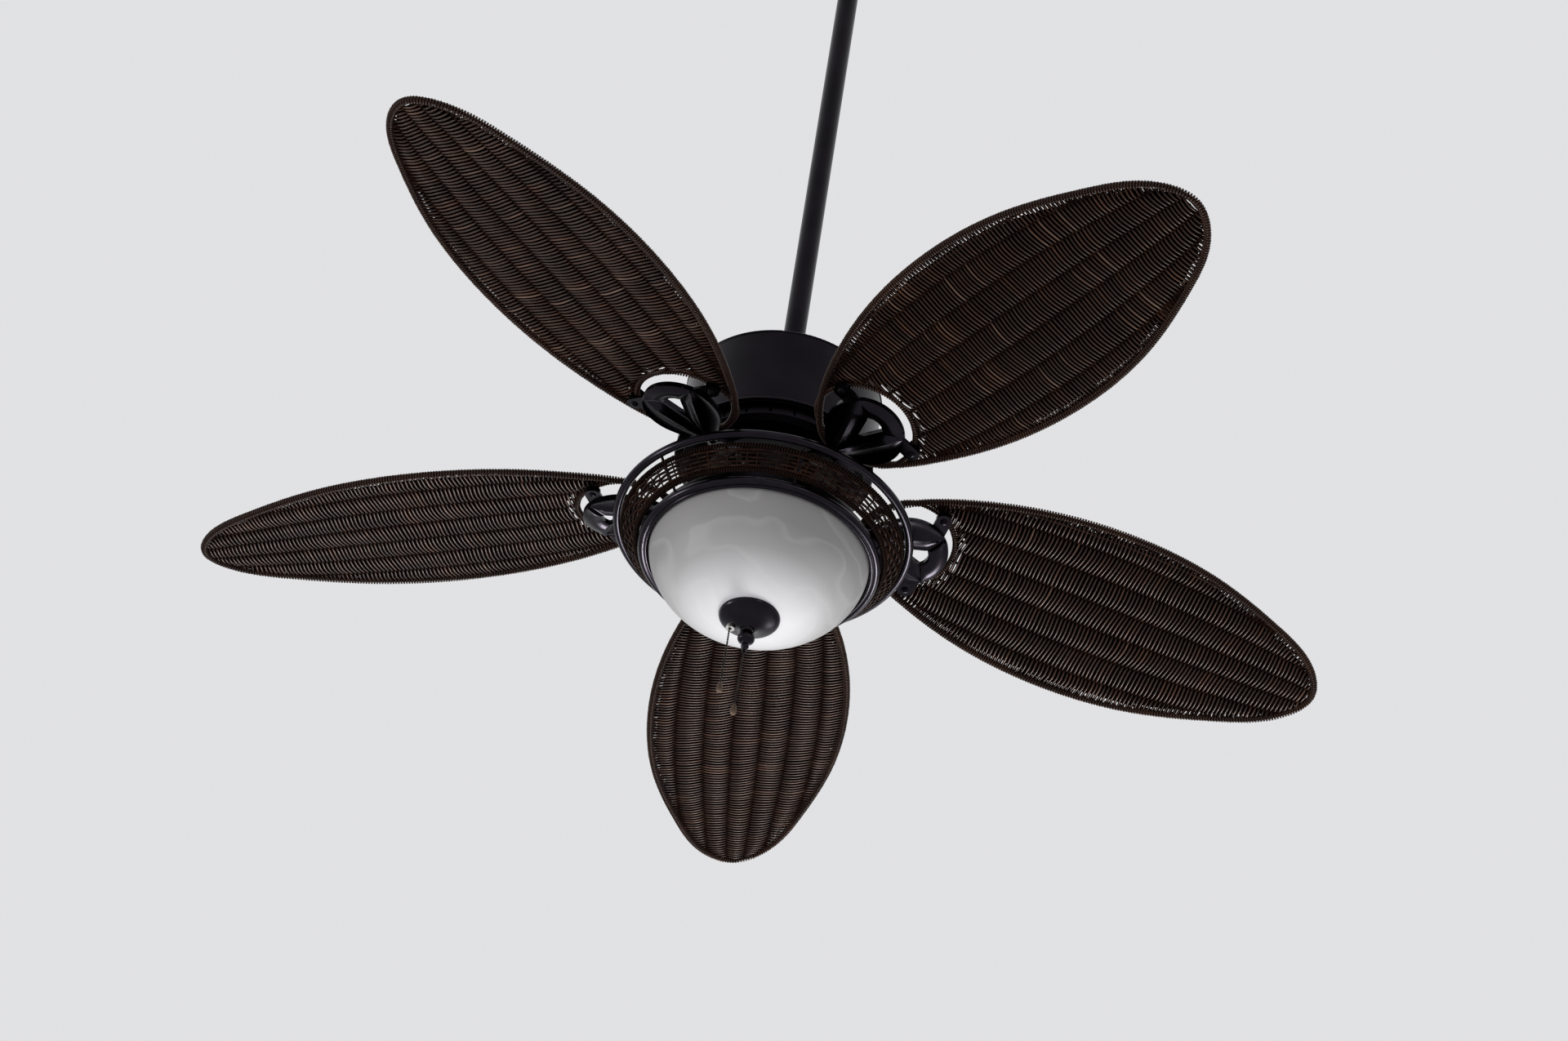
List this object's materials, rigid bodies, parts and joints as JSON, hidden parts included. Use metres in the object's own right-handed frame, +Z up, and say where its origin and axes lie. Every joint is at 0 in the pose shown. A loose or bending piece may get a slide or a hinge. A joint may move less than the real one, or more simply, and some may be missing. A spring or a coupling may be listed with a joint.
{
  "type": "ceiling fan with light",
  "caption": "Ceiling fan on a long downrod with woven leaf-shaped blades, a woven basket band and a frosted glass bowl light.",
  "frame": {"origin": "centre of the two outlet-box screw slots, on the top face of the hanger bracket, which lies on the ceiling", "axes": "+Z up along the downrod and the fan's spin axis, out of the bracket's top face; +X along the line through the two slots; the fan hangs below the origin"},
  "size_m": [1.3045, 1.2761, 1.4275],
  "materials": {
    "bronze_finish": "satin near-black bronze paint",
    "wicker": "dark brown woven wicker, semi-gloss stain",
    "alabaster_glass": "frosted white glass with faint marbling",
    "zinc_plate": "zinc plated pressed steel",
    "machined_steel": "machined steel",
    "cast_alloy": "die cast alloy",
    "copper_wire": "varnished copper wire",
    "black_nylon": "moulded nylon",
    "white_ceramic": "glazed white",
    "frosted_bulb": "frosted lamp glass",
    "black_rubber": "soft rubber",
    "grommet_metal": "bright plated eyelet",
    "chain_bronze": "dark bronze bead chain",
    "fob_brass": "antique brass"
  },
  "bodies": {
    "root": {"hanger_bracket": "zinc_plate", "canopy": "bronze_finish", "canopy_screws": "bronze_finish"},
    "seat": {"ball_seat": "black_nylon"},
    "hanger": {"ball_cross_pin": "zinc_plate", "basket_posts": "bronze_finish", "bulbs": "frosted_bulb", "capacitor": "black_nylon", "centre_rod": "zinc_plate", "chain_grommet": "grommet_metal", "clevis_pin": "zinc_plate", "collar_set_screws": "zinc_plate", "downrod": "bronze_finish", "fan_pull_switch": "black_nylon", "finial_cap": "bronze_finish", "finial_nut": "bronze_finish", "glass_bowl": "alabaster_glass", "glass_washer": "black_rubber", "hanger_ball": "cast_alloy", "housing_drum": "bronze_finish", "housing_lower_cover": "bronze_finish", "housing_screws": "bronze_finish", "housing_top_cap": "bronze_finish", "lamp_sockets": "white_ceramic", "light_fitter_pan": "bronze_finish", "light_pull_switch": "black_nylon", "lower_ring": "bronze_finish", "motor_collar": "cast_alloy", "motor_shaft": "machined_steel", "reverse_switch": "black_nylon", "stator_core": "machined_steel", "stator_windings": "copper_wire", "switch_housing": "bronze_finish", "switch_mount_plate": "zinc_plate", "upper_ring": "bronze_finish", "wicker_band": "wicker", "yoke_cover": "bronze_finish"},
    "rotor": {"rotor_upper_shell": "cast_alloy", "rotor_lower_shell": "cast_alloy", "bearings": "machined_steel", "flywheel": "cast_alloy", "iron_screws": "bronze_finish", "blade_screws": "bronze_finish", "blade_1": "wicker", "blade_2": "wicker", "blade_3": "wicker", "blade_4": "wicker", "blade_5": "wicker", "blade_iron_1": "bronze_finish", "blade_iron_2": "bronze_finish", "blade_iron_3": "bronze_finish", "blade_iron_4": "bronze_finish", "blade_iron_5": "bronze_finish"},
    "fan_pull": {"fan_chain": "chain_bronze", "fan_chain_fob": "fob_brass"},
    "light_pull": {"light_chain": "chain_bronze", "light_chain_fob": "fob_brass"},
    "slider": {"reverse_slider": "black_nylon"}
  },
  "joints": [
    {"name": "swing_x", "type": "hinge", "parent": "root", "child": "seat", "pos_m": [0, 0, -0.046], "axis": [1, 0, 0], "range_deg": [-10, 10]},
    {"name": "swing_y", "type": "hinge", "parent": "seat", "child": "hanger", "pos_m": [0, 0, -0.046], "axis": [0, 1, 0], "range_deg": [-10, 10]},
    {"name": "fan_spin", "type": "hinge", "parent": "hanger", "child": "rotor", "pos_m": [0, 0, -1.122], "axis": [0, 0, 1], "continuous": true},
    {"name": "fan_chain_pull", "type": "slide", "parent": "hanger", "child": "fan_pull", "axis": [0, 0, -1], "range_m": [0, 0.008], "stiffness_N_per_m": 300, "springref_m": -0.004},
    {"name": "light_chain_pull", "type": "slide", "parent": "hanger", "child": "light_pull", "axis": [0, 0, -1], "range_m": [0, 0.008], "stiffness_N_per_m": 300, "springref_m": -0.004},
    {"name": "reverse_slide", "type": "slide", "parent": "hanger", "child": "slider", "axis": [1, 0, 0], "range_m": [0, 0.008]}
  ]
}
